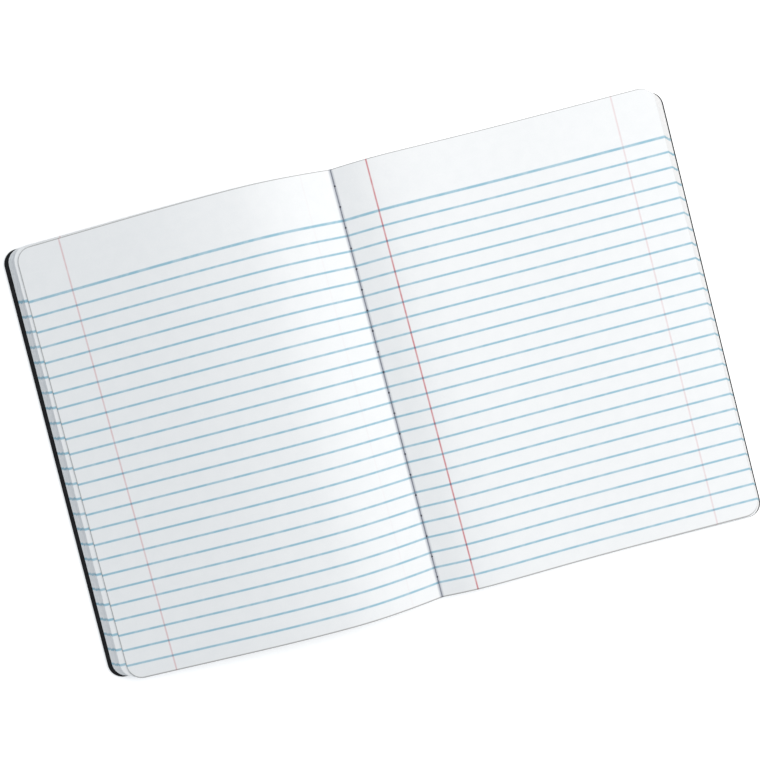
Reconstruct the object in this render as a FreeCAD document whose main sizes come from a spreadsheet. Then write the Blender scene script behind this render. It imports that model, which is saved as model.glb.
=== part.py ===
import FreeCAD, Part
import Sketcher
import math
import os

# Open composition notebook, lying on its covers at the centre spread.
# Millimetres. X runs across the spread, Y up the page towards the head, Z up from the table.
# The origin is on the table, under the middle of the spine.

Vector = FreeCAD.Vector
UP = Vector(0, 0, 1)

# Driving dimensions

SIZES = [
    # Covers and tape
    ("leaf_height", 247.65, "height of leaves and covers, head to tail"),
    ("cover_reach", 190.5, "from the middle of the spine to a cover's fore edge"),
    ("board_thick", 1.0, "cover board"),
    ("corner_radius", 8.4, "rounded fore-edge corners of covers and leaves"),
    ("spine_half_gap", 5.0, "from the middle of the spine to a board's inner edge"),
    ("tape_thick", 0.3, "cloth tape"),
    ("tape_flap", 22.0, "width of tape glued to each board"),
    # Block of leaves
    ("fold_stack", 4.6, "all the sheets where the stitches press them, at the fold"),
    ("layer_count", 10, "bunches of leaves that show as steps at the fore edges"),
    ("lay_gap", 0.1, "air between the last leaf and the board under it"),
    ("sheet_turn", 0.6, "degrees by which the inner sheets lie turned on the covers"),
    ("block_shift", 0.5, "the fold lies this much to the right of the spine's middle"),
    ("left_set_back", 2.1, "board left bare outside the left leaves"),
    ("left_fan", 8.4, "from the last left leaf's edge in to the first one's"),
    ("right_set_back", 0.6, "board left bare outside the right leaves"),
    ("right_fan", 4.1, "from the last right leaf's edge in to the first one's"),
    ("fold_half_in", 0.25, "half width of the fold of the innermost sheet"),
    ("fold_half_out", 1.0, "half width of the back of the fold"),
    ("fold_foot", 1.0, "straight width of each page beside the fold, before it curves"),
    # High arch of the left leaves, heights above the innermost fold
    ("left_slope", 0.467, "rise of the page beside the fold, height over width"),
    ("left_crest_out", 55.0, "from the fold to the top of the arch"),
    ("left_crest_rise", 14.8, "height of the top of the arch"),
    ("left_crest_stack", 6.5, "leaves and the air between them under the top"),
    ("left_landing_out", 172.0, "from the fold to where the last leaf meets the board"),
    ("left_landing_rise", 2.4, "height of the page there"),
    ("left_landing_slope", 0.13, "fall of the page there, height over width"),
    # Low hump of the right leaves
    ("right_slope", 0.222, "rise of the page beside the fold, height over width"),
    ("right_under_slope", 0.4, "the same for the last leaf, which clears the board's edge"),
    ("right_crest_out", 28.7, "from the fold to the top of the hump"),
    ("right_crest_rise", 4.25, "height of the top of the hump"),
    ("right_crest_stack", 5.2, "leaves and the air between them under the top"),
    ("right_landing_out", 108.0, "from the fold to where the page lies flat"),
    ("right_landing_rise", 0.9, "height of the page there"),
    ("right_under_landing_out", 85.0, "from the fold to where the last leaf meets the board"),
    ("right_edge_rise", 2.0, "height of the page at its fore edge, which curls a little"),
    ("right_edge_slope", 0.0217, "rise of the page there, height over width"),
    # Lock stitch through the fold
    ("thread_diameter", 0.4, "both threads"),
    ("thread_clearance", 0.05, "between a thread and the paper or tape beside it"),
    ("stitch_pitch", 11.9, "from hole to hole"),
    ("first_stitch", 9.7, "from the head to the first hole, and the least left at the tail"),
    ("hole_radius", 0.5, "needle hole"),
]

doc = FreeCAD.newDocument("composition_notebook")
sheet = doc.addObject("Spreadsheet::Sheet", "Sizes")
for row, (name, value, meaning) in enumerate(SIZES, start=1):
    sheet.set("A%d" % row, name)
    sheet.set("B%d" % row, str(value))
    sheet.set("C%d" % row, meaning)
    sheet.setAlias("B%d" % row, name)
doc.recompute()


def size(name):
    return float(sheet.get(name))


HOLE_SIDES = 8
THREAD_SIDES = 6
STRAIGHT_ENOUGH = 1e-7

# Heights worked out from the sheet, above the table

BOARD_TOP = size("tape_thick") + size("board_thick")
FOLD_BACK = size("tape_thick") + size("thread_diameter") + 2 * size("thread_clearance")
FOLD_TOP = FOLD_BACK + size("fold_stack")
UNDERSIDE = BOARD_TOP + size("lay_gap")
CLEAR_OF_LEAVES = 2 * (FOLD_TOP + size("left_crest_rise"))

# Reach of the handles that shape the curves of the sections: after the foot, before and after
# the crest, before and after the landing, and before the fore edge, as shares of each way

EVEN = 1 / 3
LEFT_PAGE_HANDLES = (0.38, 0.32, 0.32, 0.5, EVEN, EVEN)
LEFT_UNDER_HANDLES = (0.38, 0.32, 0.35, 0.3, EVEN, EVEN)
RIGHT_PAGE_HANDLES = (0.31, 0.41, 0.25, 0.5, 0.25, 0.4)
RIGHT_UNDER_HANDLES = (0.31, 0.41, 0.35, 0.3, EVEN, EVEN)


def upright(edge):
    return abs(edge.tangentAt(edge.FirstParameter).z) > 0.9


# Cover boards and tape, each a sketch and a pad

def origin_plane(body, role):
    for feature in body.Origin.OriginFeatures:
        if feature.Role == role:
            return feature


def rectangle_sketch(body, name, width, height, middle):
    """A rectangle on the XY plane, even about X; its width starts at Y or is even about it."""
    sketch = body.newObject("Sketcher::SketchObject", name)
    sketch.AttachmentSupport = [(origin_plane(body, "XY_Plane"), "")]
    sketch.MapMode = "FlatFace"
    left = -5.0 if middle else 0.0
    corners = [Vector(left, -5, 0), Vector(5, -5, 0), Vector(5, 5, 0), Vector(left, 5, 0)]
    for i in range(4):
        sketch.addGeometry(Part.LineSegment(corners[i], corners[(i + 1) % 4]), False)
    for i in range(4):
        sketch.addConstraint(Sketcher.Constraint("Coincident", i, 2, (i + 1) % 4, 1))
    sketch.addConstraint(Sketcher.Constraint("Horizontal", 2))
    sketch.addConstraint(Sketcher.Constraint("Vertical", 3))
    sketch.addConstraint(Sketcher.Constraint("Symmetric", 1, 1, 1, 2, -1))
    if middle:
        sketch.addConstraint(Sketcher.Constraint("Symmetric", 0, 1, 0, 2, -2))
    else:
        sketch.addConstraint(Sketcher.Constraint("Horizontal", 0))
        sketch.addConstraint(Sketcher.Constraint("PointOnObject", 3, 1, -2))
    wide = sketch.addConstraint(Sketcher.Constraint("DistanceX", 0, 1, 0, 2, 10.0))
    high = sketch.addConstraint(Sketcher.Constraint("DistanceY", 1, 1, 1, 2, 10.0))
    sketch.setExpression("Constraints[%d]" % wide, width)
    sketch.setExpression("Constraints[%d]" % high, height)
    return sketch


def padded_body(label, width, height, thickness, middle):
    body = doc.addObject("PartDesign::Body", label)
    body.Label = label
    pad = body.newObject("PartDesign::Pad", label + "_pad")
    pad.Profile = rectangle_sketch(body, label + "_outline", width, height, middle)
    pad.setExpression("Length", thickness)
    doc.recompute()
    return body, pad


def cover(label, side):
    """A board that reaches out from its hinge edge, with round corners at the fore edge."""
    body, pad = padded_body(label, "Sizes.cover_reach - Sizes.spine_half_gap",
                            "Sizes.leaf_height", "Sizes.board_thick", False)
    reach = max(vertex.X for vertex in pad.Shape.Vertexes)
    corners = []
    for number, edge in enumerate(pad.Shape.Edges, start=1):
        if upright(edge) and edge.CenterOfMass.x > reach / 2:
            corners.append("Edge%d" % number)
    rounding = body.newObject("PartDesign::Fillet", label + "_corners")
    rounding.Base = (pad, corners)
    rounding.setExpression("Radius", "Sizes.corner_radius")
    turn = FreeCAD.Rotation(UP, 0 if side > 0 else 180)
    body.Placement = FreeCAD.Placement(Vector(side * size("spine_half_gap"), 0, size("tape_thick")), turn)
    body.setExpression("Placement.Base.x", "%d * Sizes.spine_half_gap" % side)
    body.setExpression("Placement.Base.z", "Sizes.tape_thick")
    return body


front_cover = cover("front_cover", -1)
back_cover = cover("back_cover", 1)
spine_tape, tape_pad = padded_body("spine_tape", "2 * (Sizes.spine_half_gap + Sizes.tape_flap)",
                                   "Sizes.leaf_height", "Sizes.tape_thick", True)


# Block of leaves

def lerp(low, high, share):
    return low + (high - low) * share


def on_line(point, slope, out):
    return point[0] + out, point[1] + slope * out


def section_poles(fold, foot_slope, crest, landing, end, slopes, handles):
    """Poles (out, up) of one boundary between leaves, from the fold outwards, as four cubics.

    They are the straight foot, then the ways to the crest, to the landing and to the fore
    edge. The slopes are those at the landing and at the fore edge."""
    foot = size("fold_foot")
    rise, fall, rest = crest[0], landing[0] - crest[0], end[0] - landing[0]
    foot_end = on_line(fold, foot_slope, foot)
    return [
        fold,
        on_line(fold, foot_slope, foot / 3),
        on_line(fold, foot_slope, foot * 2 / 3),
        foot_end,
        on_line(foot_end, foot_slope, handles[0] * rise),
        on_line(crest, 0, -handles[1] * rise),
        crest,
        on_line(crest, 0, handles[2] * fall),
        on_line(landing, slopes[0], -handles[3] * fall),
        landing,
        on_line(landing, slopes[0], handles[4] * rest),
        on_line(end, slopes[1], -handles[5] * rest),
        end,
    ]


def left_poles():
    """The left section, a high arch: the poles of the last leaf's underside, then the page's."""
    reach, slope = size("cover_reach"), size("left_slope")
    crest_out, landing_out = size("left_crest_out"), size("left_landing_out")
    crest = FOLD_TOP + size("left_crest_rise")
    landing = (landing_out, FOLD_TOP + size("left_landing_rise"))
    fall = -size("left_landing_slope")
    under = section_poles((size("fold_half_out"), FOLD_BACK), slope,
                          (crest_out, crest - size("left_crest_stack")),
                          (landing_out, UNDERSIDE), (reach, UNDERSIDE), (0, 0), LEFT_UNDER_HANDLES)
    page = section_poles((size("fold_half_in"), FOLD_TOP), slope, (crest_out, crest),
                         landing, on_line(landing, fall, reach - landing_out), (fall, fall),
                         LEFT_PAGE_HANDLES)
    return under, page


def right_poles():
    """The right section, a low hump that lies flat beyond it, in the same order."""
    reach = size("cover_reach")
    crest_out = size("right_crest_out")
    crest = FOLD_TOP + size("right_crest_rise")
    under = section_poles((size("fold_half_out"), FOLD_BACK), size("right_under_slope"),
                          (crest_out, crest - size("right_crest_stack")),
                          (size("right_under_landing_out"), UNDERSIDE), (reach, UNDERSIDE),
                          (0, 0), RIGHT_UNDER_HANDLES)
    page = section_poles((size("fold_half_in"), FOLD_TOP), size("right_slope"), (crest_out, crest),
                         (size("right_landing_out"), FOLD_TOP + size("right_landing_rise")),
                         (reach, FOLD_TOP + size("right_edge_rise")),
                         (0, size("right_edge_slope")), RIGHT_PAGE_HANDLES)
    return under, page


def section_curve(poles, side, y):
    """Edges of one boundary between two bunches of leaves, from the fold outwards."""
    points = [Vector(side * x, y, z) for x, z in poles]
    edges = []
    for start in range(0, len(points) - 1, 3):
        span = points[start:start + 4]
        chord = span[3] - span[0]
        if max(pole.distanceToLine(span[0], chord) for pole in span) < STRAIGHT_ENOUGH:
            edges.append(Part.makeLine(span[0], span[3]))
        else:
            curve = Part.BezierCurve()
            curve.setPoles(span)
            edges.append(curve.toShape())
    return edges, points[0], points[-1]


def mixed(low, high, share):
    return [(lerp(a[0], b[0], share), lerp(a[1], b[1], share)) for a, b in zip(low, high)]


def leaf_outline(share):
    """Upright prism with the outline of the sheets at this share of the stack's height."""
    left_out = size("cover_reach") - size("left_set_back") + size("block_shift")
    right_out = size("cover_reach") - size("right_set_back") - size("block_shift")
    left = left_out - size("left_fan") * share
    right = right_out - size("right_fan") * share
    tail = Vector(-left, -size("leaf_height") / 2, 0)
    blank = Part.makeBox(left + right, size("leaf_height"), CLEAR_OF_LEAVES, tail)
    prism = blank.makeFillet(size("corner_radius"), [edge for edge in blank.Edges if upright(edge)])
    prism.rotate(Vector(), UP, size("sheet_turn") * (share - 1))
    return prism


def bunch(left, right, low_share, high_share, outline_share):
    """The leaves between two shares of the stack's height, on both sides of the fold."""
    y = -size("leaf_height")
    boundary = []
    for poles_of_side, side in ((left, -1), (right, 1)):
        low_edges, low_in, low_out = section_curve(mixed(*poles_of_side, low_share), side, y)
        high_edges, high_in, high_out = section_curve(mixed(*poles_of_side, high_share), side, y)
        boundary += low_edges + high_edges + [Part.makeLine(low_out, high_out)]
        if side < 0:
            inner_low, inner_high = low_in, high_in
    boundary.append(Part.makeLine(inner_low, low_in))
    boundary.append(Part.makeLine(inner_high, high_in))
    face = Part.Face(Part.Wire(Part.__sortEdges__(boundary)))
    bar = face.extrude(Vector(0, 2 * size("leaf_height"), 0))
    return bar.common(leaf_outline(outline_share))


def stitch_places():
    """As many holes as fit, from the first one near the head."""
    first = size("leaf_height") / 2 - size("first_stitch")
    count = int((size("leaf_height") - 2 * size("first_stitch")) / size("stitch_pitch")) + 1
    return [first - i * size("stitch_pitch") for i in range(count)]


def needle_hole(y):
    """A hole as the needle leaves it, with flats rather than a true round."""
    corner = size("hole_radius") / math.cos(math.pi / HOLE_SIDES)
    angles = [2 * math.pi * (i + 0.5) / HOLE_SIDES for i in range(HOLE_SIDES)]
    ring = [Vector(corner * math.cos(a), y + corner * math.sin(a), 0) for a in angles]
    face = Part.Face(Part.makePolygon(ring + ring[:1]))
    return face.extrude(UP * CLEAR_OF_LEAVES)


def block_of_leaves():
    left, right = left_poles(), right_poles()
    count = int(size("layer_count"))
    bunches = []
    for i in range(count):
        bunches.append(bunch(left, right, i / count, (i + 1) / count, i / max(count - 1, 1)))
    block = bunches[0].multiFuse(bunches[1:]).removeSplitter()
    return block.cut([needle_hole(y) for y in stitch_places()])


def block_placement():
    """The block and its threads lie turned and shifted a little on the covers."""
    return FreeCAD.Placement(Vector(size("block_shift"), 0, 0), FreeCAD.Rotation(UP, size("sheet_turn")))


def feature(label, shape, placement):
    made = doc.addObject("Part::Feature", label)
    made.Label = label
    if shape.ShapeType == "Compound" and len(shape.Solids) == 1:
        shape = shape.Solids[0]
    made.Shape = shape
    made.Placement = placement
    return made


pages = feature("pages", block_of_leaves(), block_placement())


# Lock stitch: each thread runs along the fold and dips into every needle hole

def strand(path, radius, sides):
    """A prismatic tube along points in the plane x = 0, mitred at each turn."""
    rings = []
    for i, point in enumerate(path):
        before = (point - path[i - 1]).normalize() if i else None
        after = (path[i + 1] - point).normalize() if i < len(path) - 1 else None
        along = (before + after).normalize() if before and after else (before or after)
        lean = along.dot(after or before)
        across = along.cross(Vector(1, 0, 0))
        ring = []
        for corner in range(sides):
            angle = 2 * math.pi * (corner + 0.5) / sides
            ring.append(point + Vector(1, 0, 0) * (radius * math.cos(angle))
                        + across * (radius * math.sin(angle) / lean))
        rings.append(ring)
    faces = [Part.Face(Part.makePolygon(ring + ring[:1])) for ring in (rings[0], rings[-1])]
    for ring, following in zip(rings, rings[1:]):
        for corner in range(sides):
            after = (corner + 1) % sides
            quad = [ring[corner], ring[after], following[after], following[corner], ring[corner]]
            faces.append(Part.Face(Part.makePolygon(quad)))
    return Part.Solid(Part.Shell(faces))


def thread_path(run_height, loop_height):
    """From head to tail along the fold, with a loop to loop_height in each hole."""
    head = size("leaf_height") / 2
    half_loop = size("hole_radius") - size("thread_clearance") - size("thread_diameter") / 2
    path = [Vector(0, head, run_height)]
    for y in stitch_places():
        for offset, z in ((half_loop, run_height), (half_loop, loop_height),
                          (-half_loop, loop_height), (-half_loop, run_height)):
            path.append(Vector(0, y + offset, z))
    path.append(Vector(0, -head, run_height))
    return path


thread_radius = size("thread_diameter") / 2
off_surface = thread_radius + size("thread_clearance")
lock_height = (FOLD_BACK + FOLD_TOP) / 2
needle_path = thread_path(FOLD_TOP + off_surface, lock_height + off_surface)
bobbin_path = thread_path(FOLD_BACK - off_surface, lock_height - off_surface)
needle_thread = feature("needle_thread", strand(needle_path, thread_radius, THREAD_SIDES), block_placement())
bobbin_thread = feature("bobbin_thread", strand(bobbin_path, thread_radius, THREAD_SIDES), block_placement())


# Checks and export

doc.recompute()
NODES = [pages, front_cover, back_cover, spine_tape, needle_thread, bobbin_thread]
for thing in doc.Objects:
    if "Invalid" in thing.State or "Error" in thing.State:
        raise RuntimeError("%s did not build: %s" % (thing.Label, thing.State))
os.makedirs("parts", exist_ok=True)
for node in NODES:
    shape = node.Shape
    if shape.isNull() or not shape.isValid():
        raise RuntimeError("%s has no valid shape" % node.Label)
    shape.exportStep("parts/%s.step" % node.Label)
    print("%-14s solids %d  volume %.1f mm3" % (node.Label, len(shape.Solids), shape.Volume))
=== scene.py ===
import math
import random

import bpy
import numpy as np
from mathutils import Matrix, Vector


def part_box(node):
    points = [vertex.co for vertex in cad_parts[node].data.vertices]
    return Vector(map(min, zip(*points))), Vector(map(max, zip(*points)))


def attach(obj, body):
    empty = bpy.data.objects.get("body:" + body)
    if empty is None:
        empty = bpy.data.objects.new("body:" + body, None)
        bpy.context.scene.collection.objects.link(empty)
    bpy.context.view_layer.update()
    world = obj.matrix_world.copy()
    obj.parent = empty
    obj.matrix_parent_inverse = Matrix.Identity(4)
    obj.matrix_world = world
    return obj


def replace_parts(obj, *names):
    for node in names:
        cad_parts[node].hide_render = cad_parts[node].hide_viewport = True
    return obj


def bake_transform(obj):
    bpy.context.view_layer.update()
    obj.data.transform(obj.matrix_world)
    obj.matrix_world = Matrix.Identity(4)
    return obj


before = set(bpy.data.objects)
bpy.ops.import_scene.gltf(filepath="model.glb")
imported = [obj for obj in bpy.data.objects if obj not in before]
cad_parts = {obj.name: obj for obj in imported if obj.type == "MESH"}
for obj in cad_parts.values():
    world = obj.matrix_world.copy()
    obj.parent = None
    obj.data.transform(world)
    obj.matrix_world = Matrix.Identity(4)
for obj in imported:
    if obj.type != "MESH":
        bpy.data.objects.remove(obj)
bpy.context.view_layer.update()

# Open composition notebook, lying on its covers at the centre spread.
# Metres. X runs across the spread, Y up the page towards the head, Z up from the table.
# Leaves and threads are laid out with the fold along Y, then turned onto the covers.

MM = 0.001
cover_low, cover_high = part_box("front_cover")
LEAF_HEIGHT = cover_high.y - cover_low.y
COVER_REACH = -cover_low.x
BLOCK_TURN = math.radians(0.6)
BLOCK_SHIFT = 0.5 * MM
ON_COVERS = Matrix.Translation((BLOCK_SHIFT, 0, 0)) @ Matrix.Rotation(BLOCK_TURN, 4, "Z")

# Block of leaves

SHEETS = 50
PAPER = 0.072 * MM
FOLD_BACK = 0.8 * MM
FOLD_TOP = 5.4 * MM
FOOT = 1.0 * MM
FOLD_HALF_IN = 0.25 * MM
FOLD_HALF_OUT = 1.0 * MM
CORNER_RADIUS = 8.4 * MM
EVEN_OUT_TO = 12 * MM
LOOSE_FROM = 140 * MM
HOLE_HALF = 0.5 * MM
STITCH_PITCH = 11.9 * MM
FIRST_STITCH = 9.7 * MM
STITCHES = 20

# Ruling, along the paper from the fold and up the page from its middle

RULE_GAP = 8.73125 * MM
RULES = 25
FIRST_RULE = 94.35 * MM
RULE_HALF = 0.58 * MM
HEAD_RULE_MORE = 0.13 * MM
EDGE_RULE_MORE = 0.1 * MM
INK_SOFT = 0.34 * MM
MARGIN_NEAR = 20.64 * MM
MARGIN_FAR = 156.8 * MM
MARGIN_SKEW = 0.0052
SHOW_NEAR = 18.7 * MM
SHOW_FAR = 161.3 * MM
MARGIN_HALF = 0.42 * MM
# Painted shade along the fold's crease: its middle's offset left of the fold, and its half width
CREASE_SHADE_OFF = 0.33 * MM
CREASE_SHADE_HALF = 1.85 * MM
# Painted shade along the open page's outline: insets where it is full and where it is gone, more at the tail,
# less at the right
EDGE_SHADE_FULL = 0.1 * MM
EDGE_SHADE_NONE = 0.65 * MM
TAIL_SHADE_MORE = 0.3 * MM
RIGHT_SHADE_LESS = 0.4 * MM

random.seed(11)


def linked(name, data):
    """A new object with the given data, in the scene."""
    made = bpy.data.objects.new(name, data)
    bpy.context.scene.collection.objects.link(made)
    return made


# Section of the stack

def lerp(low, high, share):
    return low + (high - low) * share


def cubic(poles, count=24):
    """Points along a cubic after its first."""
    t = np.linspace(0, 1, count + 1)[1:, None]
    weights = ((1 - t) ** 3, 3 * (1 - t) ** 2 * t, 3 * (1 - t) * t ** 2, t ** 3)
    return sum(weight * pole for weight, pole in zip(weights, poles))


def section(fold, foot_slope, crest, landing, end, handles, landing_slope=0.0, end_slope=0.0):
    """Points (out, up) from the fold to the fore edge: a straight foot, then three cubics.

    The handles are the poles' distances out from the fold, the crest, the landing and the end,
    as shares of the spans they stand in."""
    fold, crest, landing, end = (np.array(point) * MM for point in (fold, crest, landing, end))
    rise, fall, rest = crest[0], landing[0] - crest[0], end[0] - landing[0]
    level, foot_way = np.array([1, 0]), np.array([1, foot_slope])
    landing_way, end_way = np.array([1, landing_slope]), np.array([1, end_slope])
    foot = fold + FOOT * foot_way
    return np.vstack([
        [fold, foot],
        cubic([foot, foot + handles[0] * rise * foot_way, crest - handles[1] * rise * level, crest]),
        cubic([crest, crest + handles[2] * fall * level,
               landing - handles[3] * fall * landing_way, landing]),
        cubic([landing, landing + handles[4] * rest * landing_way,
               end - handles[5] * rest * end_way, end]),
    ])


def across(profile_low, profile_high, share):
    """The boundary at a share of the stack's height, as distances out, heights and arc lengths."""
    points = profile_low + (profile_high - profile_low) * share
    arc = np.r_[0, np.cumsum(np.hypot(*np.diff(points, axis=0).T))] + points[0, 0]
    return points[:, 0], points[:, 1], arc


class Half:
    """The leaves on one side of the fold, from the last at share 0 to the page at share 1.

    The air between them is shared out evenly at the fold and at random towards the fore edge,
    with a share of it right under the page."""

    def __init__(self, sign, under, page, edges, turns, air_under_page):
        self.sign, self.under, self.page = sign, under, page
        self.edges, self.turns = edges, turns
        gaps = np.array([random.expovariate(1.0) + 0.2 for _ in range(SHEETS - 1)])
        gaps = np.r_[gaps * (1 - air_under_page) / gaps.sum(), air_under_page]
        self.uneven = np.cumsum(gaps) - np.arange(1, SHEETS + 1) / SHEETS

    def edge(self, share):
        return np.interp(share, *self.edges) * MM

    def turn(self, share):
        return math.radians(np.interp(share, *self.turns))

    def paper_length(self):
        """Length of the open page along the paper, from the fold to its fore edge."""
        outs, _, arcs = across(self.under, self.page, 1.0)
        return np.interp(self.edge(1.0), outs, arcs)

    def lift(self, number, out):
        """How far a sheet lies above its even place at a distance from the fold."""
        stack = np.interp(out, *self.page.T) - np.interp(out, *self.under.T)
        loose = min(1.0, max(0.0, (out - EVEN_OUT_TO) / (LOOSE_FROM - EVEN_OUT_TO)))
        return self.uneven[number] * (stack - SHEETS * PAPER) * loose * loose * (3 - 2 * loose)


END = COVER_REACH / MM
THIRD = 1 / 3
LEFT = Half(
    -1,
    under=section((1.0, 0.8), 0.467, (55, 13.7), (172, 1.4), (END, 1.4),
                  (0.38, 0.32, 0.35, 0.3, THIRD, THIRD)),
    page=section((0.25, 5.4), 0.467, (55, 20.2), (172, 7.8), (END, 7.8 - 0.13 * (END - 172)),
                 (0.38, 0.32, 0.32, 0.5, THIRD, THIRD), landing_slope=-0.13, end_slope=-0.13),
    edges=((0.0, 0.98, 1.0), (188.6, 183.2, 180.5)),
    turns=((0.0, 0.98, 1.0), (-0.64, -0.45, 0.0)),
    air_under_page=0.2,
)
RIGHT = Half(
    1,
    under=section((1.0, 0.8), 0.4, (28.7, 4.45), (85, 1.4), (END, 1.4),
                  (0.31, 0.41, 0.35, 0.3, THIRD, THIRD)),
    page=section((0.25, 5.4), 0.222, (28.7, 9.65), (108, 6.3), (END, 7.4),
                 (0.31, 0.41, 0.25, 0.5, 0.25, 0.4), end_slope=0.0217),
    edges=((0.0, 1.0), (189.3, 185.3)),
    turns=((0.0, 1.0), (-0.6, 0.0)),
    air_under_page=0.06,
)


def stitch_places():
    return [LEAF_HEIGHT / 2 - FIRST_STITCH - i * STITCH_PITCH for i in range(STITCHES)]


# Meshes

SHARP_ANGLE = math.radians(35)

# Places in a sheet's part of the baked map, as shares of its width or height

BAKE_HEIGHT = 0.93
TAIL_ROW, HEAD_ROW, HOLE_ROW = 0.012, 0.986, 0.974
HOLE_COLUMN, EDGE_COLUMN = 0.968, 0.982


class Skin:
    """Points and faces of one piece as they are collected, with UV maps by face corner."""

    def __init__(self):
        self.points, self.faces, self.rims = [], [], []
        self.maps = {"Flat": [], "OFBake": []}

    def point(self, place):
        self.points.append(tuple(place))
        return len(self.points) - 1

    def face(self, corners, flat, bake, rim=False):
        self.faces.append(corners)
        self.rims.append(rim)
        self.maps["Flat"] += flat
        self.maps["OFBake"] += bake

    def piece(self, name, materials, placement):
        mesh = bpy.data.meshes.new(name)
        mesh.from_pydata(self.points, [], self.faces)
        mesh.transform(placement)
        for title, corners in self.maps.items():
            layer = mesh.uv_layers.new(name=title)
            layer.data.foreach_set("uv", np.array(corners, np.float32).ravel())
        mesh.uv_layers["Flat"].active = True
        mesh.uv_layers["Flat"].active_render = True
        for material in materials:
            mesh.materials.append(material)
        mesh.polygons.foreach_set("material_index", [int(rim) for rim in self.rims])
        mesh.polygons.foreach_set("use_smooth", [not rim for rim in self.rims])
        mesh.set_sharp_from_angle(angle=SHARP_ANGLE)
        mesh.update()
        return linked(name, mesh)


def columns_out(edge, middle_steps, corner_steps=7):
    """Distances of a leaf's columns from the fold, closer together round its corners."""
    straight = np.array(middle_steps)
    straight = straight[straight < edge - CORNER_RADIUS - 0.5 * MM]
    angles = np.linspace(0, math.pi / 2, corner_steps)
    return np.r_[straight, edge - CORNER_RADIUS + CORNER_RADIUS * np.sin(angles)]


def half_height(out, edge):
    """Half the leaf's height at a distance from the fold, less at its round corners."""
    beyond = max(0.0, out - (edge - CORNER_RADIUS))
    return LEAF_HEIGHT / 2 - CORNER_RADIUS + math.sqrt(max(0.0, CORNER_RADIUS ** 2 - beyond ** 2))


def steps_over(spans):
    """Distances from spans of (end, step), each in millimetres."""
    places, at = [], FOOT / MM + FOLD_HALF_IN / MM
    for end, step in spans:
        count = max(1, round((end - at) / step))
        places += list(np.linspace(at, end, count + 1)[:-1])
        at = end
    return np.array(places) * MM


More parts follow.
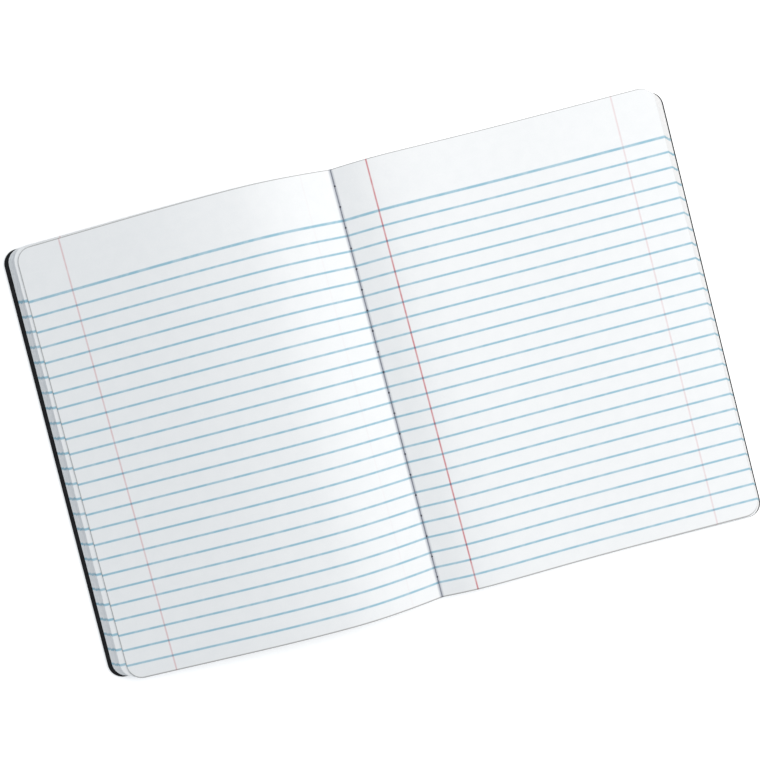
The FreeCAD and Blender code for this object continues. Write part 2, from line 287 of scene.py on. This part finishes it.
class Sheet:
    """One sheet of paper folded in the middle: a leaf on each side, and the needle holes."""

    def __init__(self, skin, number, steps, rows, band, spread):
        self.skin, self.number, self.share = skin, number, (number + 1) / SHEETS
        self.band, self.spread = band, spread
        self.fold_half = FOLD_HALF_OUT + (FOLD_HALF_IN - FOLD_HALF_OUT) * self.share
        self.slip = {-1: random.uniform(-0.4, 0.4) * MM, 1: random.uniform(-0.4, 0.4) * MM}
        self.lag = {-1: random.uniform(-0.1, 0.1) * MM, 1: random.uniform(-0.1, 0.1) * MM}
        if number == SHEETS - 1:
            self.slip = self.lag = {-1: 0.0, 1: 0.0}
        self.fine = self.fine_rows()
        self.edges = {half.sign: half.edge(self.share) + self.lag[half.sign]
                      for half in (LEFT, RIGHT)}
        left = [self.column(LEFT, out, rows) for out in reversed(columns_out(self.edges[-1], steps))]
        right = [self.column(RIGHT, out, rows) for out in columns_out(self.edges[1], steps)]
        fold_outs = [HOLE_HALF]
        if self.fold_half < HOLE_HALF:
            fold_outs.append(self.fold_half)
        else:
            left.append(self.column(LEFT, self.fold_half, rows))
            right.insert(0, self.column(RIGHT, self.fold_half, rows))
        fold = [self.column(LEFT, out, None) for out in fold_outs]
        fold += [self.column(RIGHT, out, None) for out in reversed(fold_outs)]
        self.first_fold, self.last_fold = len(left), len(left) + len(fold) - 1
        self.columns = left + fold + right
        self.faces()

    def fine_rows(self):
        """Rows beside the fold, tail to head, with an even number before each needle hole."""
        rows = [-LEAF_HEIGHT / 2]
        for place in reversed(stitch_places()):
            rows += [place - HOLE_HALF, place + HOLE_HALF]
        return rows + [LEAF_HEIGHT / 2]

    def column(self, half, out, rows):
        """Top and bottom points of one column, tail to head, with their places on the paper."""
        edge = self.edges[half.sign]
        outs, heights, arcs = across(half.under, half.page, self.share)
        if rows is None:
            along = self.fine
        else:
            along = [half_height(out, edge) * row for row in rows]
        turn = half.turn(self.share)
        made = []
        for place in along:
            x = half.sign * out * math.cos(turn) - place * math.sin(turn) * out / edge
            y = half.sign * out * math.sin(turn) + place
            z = np.interp(abs(x), outs, heights) + half.lift(self.number, abs(x))
            paper = half.sign * np.interp(out, outs, arcs, left=out)
            top = self.skin.point((x, y, z))
            low = self.skin.point((x, y, z - PAPER))
            made.append((top, low, paper, place + self.slip[half.sign], half.sign * out, place))
        return made

    def bake_place(self, item, part):
        """Where a corner of the top or the under side lies in the baked map."""
        start, width = self.band
        share = np.interp(item[4], *self.spread_of_band())
        up = 0.5 + item[5] / LEAF_HEIGHT * BAKE_HEIGHT
        top_share = 0.94 if width > 0.5 else 0.6
        if part == "top":
            return start + width * top_share * share, up
        return start + width * (top_share + 0.01 + (0.95 - top_share) * share), up

    def spread_of_band(self):
        left, right = self.edges[-1], self.edges[1]
        return ((-left, -left + self.spread[0], right - self.spread[0], right),
                (0, self.spread[1], 1 - self.spread[1], 1))

    def wall(self, first, second, rim_place):
        """A face of the paper's thickness between two points of its top and bottom."""
        flat = [(item[2], item[3]) for item in (first, first, second, second)]
        bake = [rim_place(item, low) for item, low in ((first, 0), (first, 1), (second, 1), (second, 0))]
        corners = (first[0], first[1], second[1], second[0])
        self.skin.face(corners, flat, bake, rim=True)

    def end_strip(self, level):
        """Places in the baked map of a wall that runs across the sheet."""
        start, width = self.band
        return lambda item, low: (
            start + width * 0.98 * np.interp(item[4], *self.spread_of_band()), level + 0.008 * low)

    def side_strip(self, level):
        """Places in the baked map of a wall that runs up the sheet."""
        start, width = self.band
        return lambda item, low: (
            start + width * (level + 0.012 * low), 0.5 + item[5] / LEAF_HEIGHT * BAKE_HEIGHT)

    def faces(self):
        columns = self.columns
        for number, (left, right) in enumerate(zip(columns, columns[1:])):
            if len(left) == len(right):
                spans = [(k, k + 1) for k in range(len(left) - 1)]
            else:
                spans = [(0, None)]
            in_fold = self.first_fold <= number < self.last_fold
            for low, high in spans:
                if in_fold and low % 2:
                    self.wall(right[low], left[low], self.end_strip(HOLE_ROW))
                    self.wall(left[high], right[high], self.end_strip(HOLE_ROW))
                    continue
                if high is None:
                    ring = right + left[::-1]
                else:
                    ring = [right[low], right[high], left[high], left[low]]
                self.skin.face([item[0] for item in ring], [(item[2], item[3]) for item in ring],
                               [self.bake_place(item, "top") for item in ring])
                ring = ring[::-1]
                self.skin.face([item[1] for item in ring], [(-item[2], item[3]) for item in ring],
                               [self.bake_place(item, "under") for item in ring])
            self.wall(left[0], right[0], self.end_strip(TAIL_ROW))
            self.wall(right[-1], left[-1], self.end_strip(HEAD_ROW))
        for k in range(1, len(self.fine) - 1, 2):
            left, right = columns[self.first_fold], columns[self.last_fold]
            self.wall(left[k], left[k + 1], self.side_strip(HOLE_COLUMN))
            self.wall(right[k + 1], right[k], self.side_strip(HOLE_COLUMN))
        for k in range(len(columns[0]) - 1):
            self.wall(columns[0][k + 1], columns[0][k], self.side_strip(EDGE_COLUMN))
        for k in range(len(columns[-1]) - 1):
            self.wall(columns[-1][k], columns[-1][k + 1], self.side_strip(EDGE_COLUMN))


# Materials

class Recipe:
    """A procedural material, built node by node."""

    def __init__(self, name, roughness, specular):
        self.material = bpy.data.materials.new(name)
        self.material.use_nodes = True
        self.tree = self.material.node_tree
        self.shader = self.tree.nodes["Principled BSDF"]
        self.shader.inputs["Roughness"].default_value = roughness
        self.shader.inputs["Specular IOR Level"].default_value = specular

    def plug(self, socket, value):
        if isinstance(value, bpy.types.NodeSocket):
            self.tree.links.new(value, socket)
        else:
            socket.default_value = value

    def math(self, operation, *values):
        node = self.tree.nodes.new("ShaderNodeMath")
        node.operation = operation
        for socket, value in zip(node.inputs, values):
            self.plug(socket, value)
        return node.outputs[0]

    def smooth(self, value, low, high, to_low=0.0, to_high=1.0):
        node = self.tree.nodes.new("ShaderNodeMapRange")
        node.interpolation_type = "SMOOTHSTEP"
        for socket, entry in zip(node.inputs, (value, low, high, to_low, to_high)):
            self.plug(socket, entry)
        return node.outputs[0]

    def mix(self, blend, share, first, second):
        node = self.tree.nodes.new("ShaderNodeMix")
        node.data_type = "RGBA"
        node.blend_type = blend
        self.plug(node.inputs[0], share)
        self.plug(node.inputs[6], first)
        self.plug(node.inputs[7], second)
        return node.outputs[2]

    def coordinates(self, stretch=(1, 1, 1)):
        """Object coordinates in millimetres, stretched by axis."""
        source = self.tree.nodes.new("ShaderNodeTexCoord")
        scale = self.tree.nodes.new("ShaderNodeVectorMath")
        scale.operation = "MULTIPLY"
        self.plug(scale.inputs[0], source.outputs["Object"])
        scale.inputs[1].default_value = [factor / MM for factor in stretch]
        return scale.outputs[0]

    def noise(self, vector, scale, detail=3.0):
        node = self.tree.nodes.new("ShaderNodeTexNoise")
        node.inputs["Scale"].default_value = scale
        node.inputs["Detail"].default_value = detail
        self.plug(node.inputs["Vector"], vector)
        return node.outputs["Fac"]

    def bump(self, height, distance, strength=1.0):
        node = self.tree.nodes.new("ShaderNodeBump")
        node.inputs["Strength"].default_value = strength
        node.inputs["Distance"].default_value = distance
        self.plug(node.inputs["Height"], height)
        self.plug(self.shader.inputs["Normal"], node.outputs["Normal"])

    def colour(self, value):
        self.plug(self.shader.inputs["Base Color"], value)


PAPER_COLOUR = (0.815, 0.815, 0.815, 1)
PAPER_SHADE = (0.795, 0.798, 0.80, 1)
BLUE_INK = (0.36, 0.605, 0.725, 1)
RED_INK = (0.73, 0.23, 0.25, 1)
# Colour of the painted shade along the open page's outline
EDGE_SHADE_TINT = (0.48, 0.475, 0.465, 1)
BARED_TINT = (0.93, 0.915, 0.90, 1)
# Colour of the painted shade along the fold's crease
CREASE_SHADE_TINT = (0.60, 0.62, 0.66, 1)
WHITE = (1, 1, 1, 1)


def ruled_paper(name, is_open_page):
    """White paper with blue rules, a red margin line, and the reverse's margin showing through.

    Painted shade greys the edges of the page that lies open. Of the others, the strips that
    the right page leaves bare are tinted a little darker and warmer."""
    recipe = Recipe(name, roughness=0.92, specular=0.12)
    place = recipe.coordinates()
    cloud = recipe.noise(place, 0.16, detail=4.0)
    fibre = recipe.noise(place, 1.4, detail=2.0)
    tone = recipe.math("ADD", recipe.math("MULTIPLY", cloud, 0.55), recipe.math("MULTIPLY", fibre, 0.45))
    paper = recipe.mix("MIX", recipe.smooth(tone, 0.36, 0.64), PAPER_SHADE, PAPER_COLOUR)
    uv = recipe.tree.nodes.new("ShaderNodeUVMap")
    uv.uv_map = "Flat"
    split = recipe.tree.nodes.new("ShaderNodeSeparateXYZ")
    recipe.plug(split.inputs[0], uv.outputs[0])
    along, up = split.outputs[0], split.outputs[1]
    wear = recipe.smooth(recipe.noise(place, 0.2, detail=3.0), 0.3, 0.62, 0.78, 1.0)

    def printed(distance, half):
        """1 on a printed line, 0 off it, for a distance from the line's middle."""
        return recipe.smooth(distance, recipe.math("SUBTRACT", half, INK_SOFT),
                             recipe.math("ADD", half, INK_SOFT), 1.0, 0.0)

    rules_down = recipe.math("DIVIDE", recipe.math("SUBTRACT", FIRST_RULE, up), RULE_GAP)
    nearest = recipe.math("MAXIMUM", recipe.math("ROUND", rules_down), 0.0)
    nearest = recipe.math("MINIMUM", nearest, RULES - 1.0)
    gaps_off = recipe.math("ABSOLUTE", recipe.math("SUBTRACT", rules_down, nearest))
    off_rule = recipe.math("MULTIPLY", gaps_off, RULE_GAP)
    head_rule = recipe.math("LESS_THAN", nearest, 0.5)
    common_half = RULE_HALF if is_open_page else RULE_HALF + EDGE_RULE_MORE
    half = recipe.math("ADD", common_half, recipe.math("MULTIPLY", head_rule, HEAD_RULE_MORE))
    blue = recipe.math("MULTIPLY", printed(off_rule, half), wear)
    print_layer = recipe.mix("MULTIPLY", blue, paper, BLUE_INK)

    slant = recipe.math("MULTIPLY", up, MARGIN_SKEW)
    verso = recipe.math("ADD", along, recipe.math("ADD", MARGIN_FAR, slant))
    far_show = recipe.math("SUBTRACT", recipe.math("SUBTRACT", along, SHOW_FAR), slant)
    lines = (
        (recipe.math("SUBTRACT", along, MARGIN_NEAR), 0.95),
        (verso, 0.47),
        (far_show, 0.28),
        (recipe.math("ADD", along, SHOW_NEAR), 0.04),
    )
    for offset, strength in lines:
        share = recipe.math("MULTIPLY", printed(recipe.math("ABSOLUTE", offset), MARGIN_HALF), strength)
        print_layer = recipe.mix("MULTIPLY", recipe.math("MULTIPLY", share, wear), print_layer, RED_INK)
    # Painted shade along the fold's crease, a little left of the fold
    off_crease = recipe.math("ABSOLUTE", recipe.math("ADD", along, CREASE_SHADE_OFF))
    crease_shade = recipe.smooth(off_crease, 0.15 * MM, CREASE_SHADE_HALF, 1.0, 0.0)
    print_layer = recipe.mix("MULTIPLY", crease_shade, print_layer, CREASE_SHADE_TINT)
    if is_open_page:
        # Painted shade along the open page's outline
        print_layer = recipe.mix("MULTIPLY", painted_edge_shade(recipe, along, up), print_layer, EDGE_SHADE_TINT)
    else:
        # Stacked sheets past the open right page's fore edge are tinted a little darker and warmer
        page_end = RIGHT.paper_length()
        bared = recipe.smooth(along, page_end - 0.5 * MM, page_end + 0.5 * MM)
        print_layer = recipe.mix("MULTIPLY", bared, print_layer, BARED_TINT)
    recipe.colour(print_layer)
    recipe.bump(recipe.noise(place, 2.6, detail=4.0), 0.02 * MM, 0.35)
    return recipe.material


def painted_edge_shade(recipe, along, up):
    """Mask of the painted shade along the open page's outline: 1 on the outline, 0 a little inside
    it; wider at the tail, narrower at the right."""
    corners_out = [half.paper_length() - CORNER_RADIUS for half in (LEFT, RIGHT)]
    to_left = recipe.math("SUBTRACT", recipe.math("MULTIPLY", along, -1.0), corners_out[0])
    past_side = recipe.math("MAXIMUM", to_left, recipe.math("SUBTRACT", along, corners_out[1]))
    past_end = recipe.math("SUBTRACT", recipe.math("ABSOLUTE", up), LEAF_HEIGHT / 2 - CORNER_RADIUS)
    round_corner = recipe.math("SQRT", recipe.math(
        "ADD",
        recipe.math("POWER", recipe.math("MAXIMUM", past_side, 0.0), 2.0),
        recipe.math("POWER", recipe.math("MAXIMUM", past_end, 0.0), 2.0)))
    square = recipe.math("MINIMUM", recipe.math("MAXIMUM", past_side, past_end), 0.0)
    inset = recipe.math("SUBTRACT", CORNER_RADIUS, recipe.math("ADD", round_corner, square))
    at_tail = recipe.smooth(up, -LEAF_HEIGHT / 2, CORNER_RADIUS - LEAF_HEIGHT / 2, TAIL_SHADE_MORE, 0.0)
    at_right = recipe.smooth(along, corners_out[1], corners_out[1] + CORNER_RADIUS, 0.0, RIGHT_SHADE_LESS)
    inset = recipe.math("ADD", recipe.math("SUBTRACT", inset, at_tail), at_right)
    return recipe.smooth(inset, EDGE_SHADE_FULL, EDGE_SHADE_NONE, 1.0, 0.0)


def paper_edge():
    """The cut edge of the paper, darker and a little bluer than its faces."""
    recipe = Recipe("paper_edge", roughness=0.95, specular=0.1)
    streak = recipe.noise(recipe.coordinates((0.15, 0.15, 4.0)), 1.0, detail=3.0)
    share = recipe.smooth(streak, 0.3, 0.7)
    recipe.colour(recipe.mix("MIX", share, (0.47, 0.50, 0.55, 1), (0.68, 0.71, 0.76, 1)))
    recipe.bump(streak, 0.03 * MM, 0.5)
    return recipe.material


def pressboard():
    """Black cover board with a fine grain, scuffed a little in patches."""
    recipe = Recipe("pressboard", roughness=0.5, specular=0.22)
    place = recipe.coordinates()
    grain = recipe.noise(place, 1.1, detail=5.0)
    scuff = recipe.smooth(recipe.noise(place, 0.12, detail=4.0), 0.52, 0.8)
    share = recipe.math("MULTIPLY", scuff, grain)
    recipe.colour(recipe.mix("MIX", share, (0.004, 0.004, 0.005, 1), (0.022, 0.022, 0.024, 1)))
    recipe.plug(recipe.shader.inputs["Roughness"], recipe.smooth(grain, 0.3, 0.7, 0.42, 0.6))
    recipe.bump(grain, 0.05 * MM, 0.5)
    return recipe.material


def woven_cloth():
    """Black book cloth: threads over and under each other."""
    recipe = Recipe("woven_cloth", roughness=0.75, specular=0.25)
    place = recipe.coordinates()
    split = recipe.tree.nodes.new("ShaderNodeSeparateXYZ")
    recipe.plug(split.inputs[0], place)
    turns_per_mm = 2 * math.pi / 0.9
    warp = recipe.math("SINE", recipe.math("MULTIPLY", split.outputs[0], turns_per_mm))
    weft = recipe.math("SINE", recipe.math("MULTIPLY", split.outputs[1], turns_per_mm))
    weave = recipe.smooth(recipe.math("MULTIPLY", warp, weft), -1.0, 1.0)
    dust = recipe.noise(place, 0.4, detail=4.0)
    share = recipe.math("MULTIPLY", weave, dust)
    recipe.colour(recipe.mix("MIX", share, (0.008, 0.008, 0.009, 1), (0.035, 0.035, 0.037, 1)))
    recipe.bump(weave, 0.08 * MM, 0.8)
    return recipe.material


def thread_fibre():
    """Grey sewing thread, darkened and blued as painted shade of the gutter it lies in, streaked along its
    fibres.
    """
    recipe = Recipe("thread_fibre", roughness=0.8, specular=0.2)
    fibre = recipe.noise(recipe.coordinates((3.0, 1.0, 3.0)), 3.0, detail=3.0)
    share = recipe.smooth(fibre, 0.3, 0.7)
    # The thread's grey is darkened and blued as painted shade of the gutter
    recipe.colour(recipe.mix("MIX", share, (0.17, 0.18, 0.24, 1), (0.30, 0.31, 0.38, 1)))
    recipe.bump(fibre, 0.03 * MM, 0.6)
    return recipe.material


EDGE_MATERIAL = paper_edge()


# Leaves

def leaf_pieces():
    """The innermost sheet by itself, and the other sheets under it as one piece."""
    fine_steps = steps_over(((8, 0.9), (60, 1.6), (178, 2.6)))
    coarse_steps = steps_over(((8, 1.8), (60, 3.2), (178, 5.2)))
    stack = Skin()
    band_width = 1 / (SHEETS - 1)
    for number in range(SHEETS - 1):
        band = (number * band_width, band_width * 0.96)
        Sheet(stack, number, coarse_steps, (-1, 0, 1), band, (9 * MM, 0.35))
    inner = Skin()
    Sheet(inner, SHEETS - 1, fine_steps, np.linspace(-1, 1, 13), (0.0, 1.0), (60 * MM, 0.164))
    for skin, name, paper in ((stack, "stacked_sheets", ruled_paper("ruled_paper", False)),
                              (inner, "inner_sheet", ruled_paper("open_page", True))):
        piece = skin.piece(name, (paper, EDGE_MATERIAL), ON_COVERS)
        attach(piece, "leaf_block")
        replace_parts(piece, "pages")


leaf_pieces()


# Lock stitch

THREAD_RADIUS = 0.2 * MM
PLY_RADIUS = 0.118 * MM
TWIST_LENGTH = 1.3 * MM
THREAD_OFF = 0.25 * MM
LOCK_HEIGHT = (FOLD_BACK + FOLD_TOP) / 2


def thread_route(run, loop):
    """Points from head to tail along the fold, dipping to the lock in each needle hole."""
    route = [(LEAF_HEIGHT / 2, run)]
    for place in stitch_places():
        for offset, height in ((0.55, run), (0.25, lerp(run, loop, 0.12)), (0.18, loop),
                               (-0.18, loop), (-0.25, lerp(run, loop, 0.12)), (-0.55, run)):
            route.append((place + offset * MM, height))
    route.append((-LEAF_HEIGHT / 2, run))
    return np.array(route)


def resampled(route, step):
    length = np.r_[0, np.cumsum(np.hypot(*np.diff(route, axis=0).T))]
    marks = np.linspace(0, length[-1], int(length[-1] / step))
    return np.stack([np.interp(marks, length, route[:, axis]) for axis in (0, 1)], 1), marks


def twisted_thread(name, material, run, loop):
    """Two plies twisted round each other along the route, with closed ends."""
    route, marks = resampled(thread_route(run, loop), 0.16 * MM)
    way = np.gradient(route, axis=0)
    way /= np.hypot(*way.T)[:, None]
    sides = 6
    points, faces = [], []
    for ply in (0, math.pi):
        start = len(points)
        for (y, z), (way_y, way_z), mark in zip(route, way, marks):
            spin = ply + 2 * math.pi * mark / TWIST_LENGTH
            lift = THREAD_RADIUS - PLY_RADIUS
            for side in range(sides):
                angle = 2 * math.pi * side / sides + spin
                over = lift * math.cos(spin) + PLY_RADIUS * math.cos(angle)
                beside = lift * math.sin(spin) + PLY_RADIUS * math.sin(angle)
                points.append((beside, y - way_z * over, z + way_y * over))
        rings = len(route)
        for ring in range(rings - 1):
            for side in range(sides):
                after = (side + 1) % sides
                low, high = start + ring * sides, start + (ring + 1) * sides
                faces.append((low + side, low + after, high + after, high + side))
        faces.append([start + side for side in reversed(range(sides))])
        faces.append([start + (rings - 1) * sides + side for side in range(sides)])
    mesh = bpy.data.meshes.new(name)
    mesh.from_pydata(points, [], faces)
    mesh.transform(ON_COVERS)
    mesh.polygons.foreach_set("use_smooth", [True] * len(faces))
    mesh.materials.append(material)
    mesh.update()
    made = linked(name, mesh)
    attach(made, "leaf_block")
    return made


thread_material = thread_fibre()
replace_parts(twisted_thread("needle_thread_twisted", thread_material, FOLD_TOP + THREAD_OFF,
                           LOCK_HEIGHT + THREAD_OFF), "needle_thread")
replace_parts(twisted_thread("bobbin_thread_twisted", thread_material, FOLD_BACK - THREAD_OFF,
                           LOCK_HEIGHT - THREAD_OFF), "bobbin_thread")


# Covers and tape

def tape_half(name, sign, material):
    """Half of the cloth tape, from the middle of the spine out over its flap."""
    low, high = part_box("spine_tape")
    reach, top = high.x, high.z
    hinge = -cover_high.x
    outs = np.r_[0, np.linspace(hinge * 0.4, hinge * 1.1, 15),
                 np.linspace(hinge * 1.4, reach - 0.1 * MM, 8), reach]
    skin_points, faces = [], []
    for out in outs:
        drop = 0.1 * MM if out == reach else 0.0
        for y, z in ((-LEAF_HEIGHT / 2, low.z + drop), (LEAF_HEIGHT / 2, low.z + drop),
                     (LEAF_HEIGHT / 2, top - drop), (-LEAF_HEIGHT / 2, top - drop)):
            skin_points.append((sign * out, y, z))
    for ring in range(len(outs) - 1):
        for side in range(4):
            after = (side + 1) % 4
            face = [ring * 4 + side, ring * 4 + 4 + side, ring * 4 + 4 + after, ring * 4 + after]
            faces.append(face if sign > 0 else face[::-1])
    last = (len(outs) - 1) * 4
    for end_face, turned in (([0, 1, 2, 3], sign > 0), ([last, last + 1, last + 2, last + 3], sign < 0)):
        faces.append(end_face[::-1] if turned else end_face)
    mesh = bpy.data.meshes.new(name)
    mesh.from_pydata(skin_points, [], faces)
    mesh.materials.append(material)
    mesh.update()
    made = linked(name, mesh)
    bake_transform(made)
    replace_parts(made, "spine_tape")


cloth = woven_cloth()
tape_half("spine_tape_left", -1, cloth)
tape_half("spine_tape_right", 1, cloth)
board_material = pressboard()
for node in ("front_cover", "back_cover"):
    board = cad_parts[node]
    board.data.materials.clear()
    board.data.materials.append(board_material)


# Table, light and camera

FLOOR_GLOW = 0.38


def stage_floor():
    """A white table that keeps a soft shadow and looks plain white where it is lit."""
    mesh = bpy.data.meshes.new("table")
    reach, under = 6.0, -0.05 * MM
    corners = [(-reach, -reach, under), (reach, -reach, under), (reach, reach, under), (-reach, reach, under)]
    mesh.from_pydata(corners, [], [(0, 1, 2, 3)])
    linked("table", mesh)
    material = bpy.data.materials.new("table_white")
    material.use_nodes = True
    tree = material.node_tree
    tree.nodes.clear()
    diffuse = tree.nodes.new("ShaderNodeBsdfDiffuse")
    diffuse.inputs["Color"].default_value = (0.8, 0.8, 0.8, 1)
    glow = tree.nodes.new("ShaderNodeEmission")
    path = tree.nodes.new("ShaderNodeLightPath")
    level = tree.nodes.new("ShaderNodeMath")
    level.operation = "MULTIPLY"
    level.inputs[1].default_value = FLOOR_GLOW
    both = tree.nodes.new("ShaderNodeAddShader")
    out = tree.nodes.new("ShaderNodeOutputMaterial")
    tree.links.new(path.outputs["Is Camera Ray"], level.inputs[0])
    tree.links.new(level.outputs[0], glow.inputs["Strength"])
    tree.links.new(diffuse.outputs[0], both.inputs[0])
    tree.links.new(glow.outputs[0], both.inputs[1])
    tree.links.new(both.outputs[0], out.inputs["Surface"])
    mesh.materials.append(material)


def sky(strength):
    """White to the camera, and soft fill light to everything else."""
    world = bpy.data.worlds.new("studio")
    bpy.context.scene.world = world
    world.use_nodes = True
    tree = world.node_tree
    tree.nodes.clear()
    fill = tree.nodes.new("ShaderNodeBackground")
    fill.inputs["Color"].default_value = (0.873, 0.933, 0.985, 1)
    fill.inputs["Strength"].default_value = strength
    seen = tree.nodes.new("ShaderNodeBackground")
    seen.inputs["Color"].default_value = WHITE
    path = tree.nodes.new("ShaderNodeLightPath")
    choice = tree.nodes.new("ShaderNodeMixShader")
    out = tree.nodes.new("ShaderNodeOutputWorld")
    tree.links.new(path.outputs["Is Camera Ray"], choice.inputs[0])
    tree.links.new(fill.outputs[0], choice.inputs[1])
    tree.links.new(seen.outputs[0], choice.inputs[2])
    tree.links.new(choice.outputs[0], out.inputs["Surface"])


def lamp(name, place, aim, size, power, colour):
    data = bpy.data.lights.new(name, "AREA")
    data.size = size
    data.energy = power
    data.color = colour
    made = linked(name, data)
    made.location = place
    made.rotation_euler = (Vector(aim) - Vector(place)).to_track_quat("-Z", "Y").to_euler()


CAMERA_PLACE = Vector((-8.96, 12.05, 555.4)) * MM
CAMERA_TURN = [math.radians(angle) for angle in (-0.958, -1.101, -14.12)]
CAMERA_LENS = 46.08


def camera():
    """Straight over the spread, turned as the photograph is."""
    data = bpy.data.cameras.new("camera")
    data.sensor_width = 36.0
    data.lens = CAMERA_LENS
    data.clip_start, data.clip_end = 0.01, 20.0
    made = linked("camera", data)
    made.location = CAMERA_PLACE
    made.rotation_euler = CAMERA_TURN
    bpy.context.scene.camera = made


stage_floor()
sky(0.69)
lamp("key", (0.90, 0.20, 1.00), (0.0, 0.0, 0.0), 0.8, 13.0, (1.0, 0.965, 0.93))
camera()
bpy.context.scene.view_settings.view_transform = "Standard"
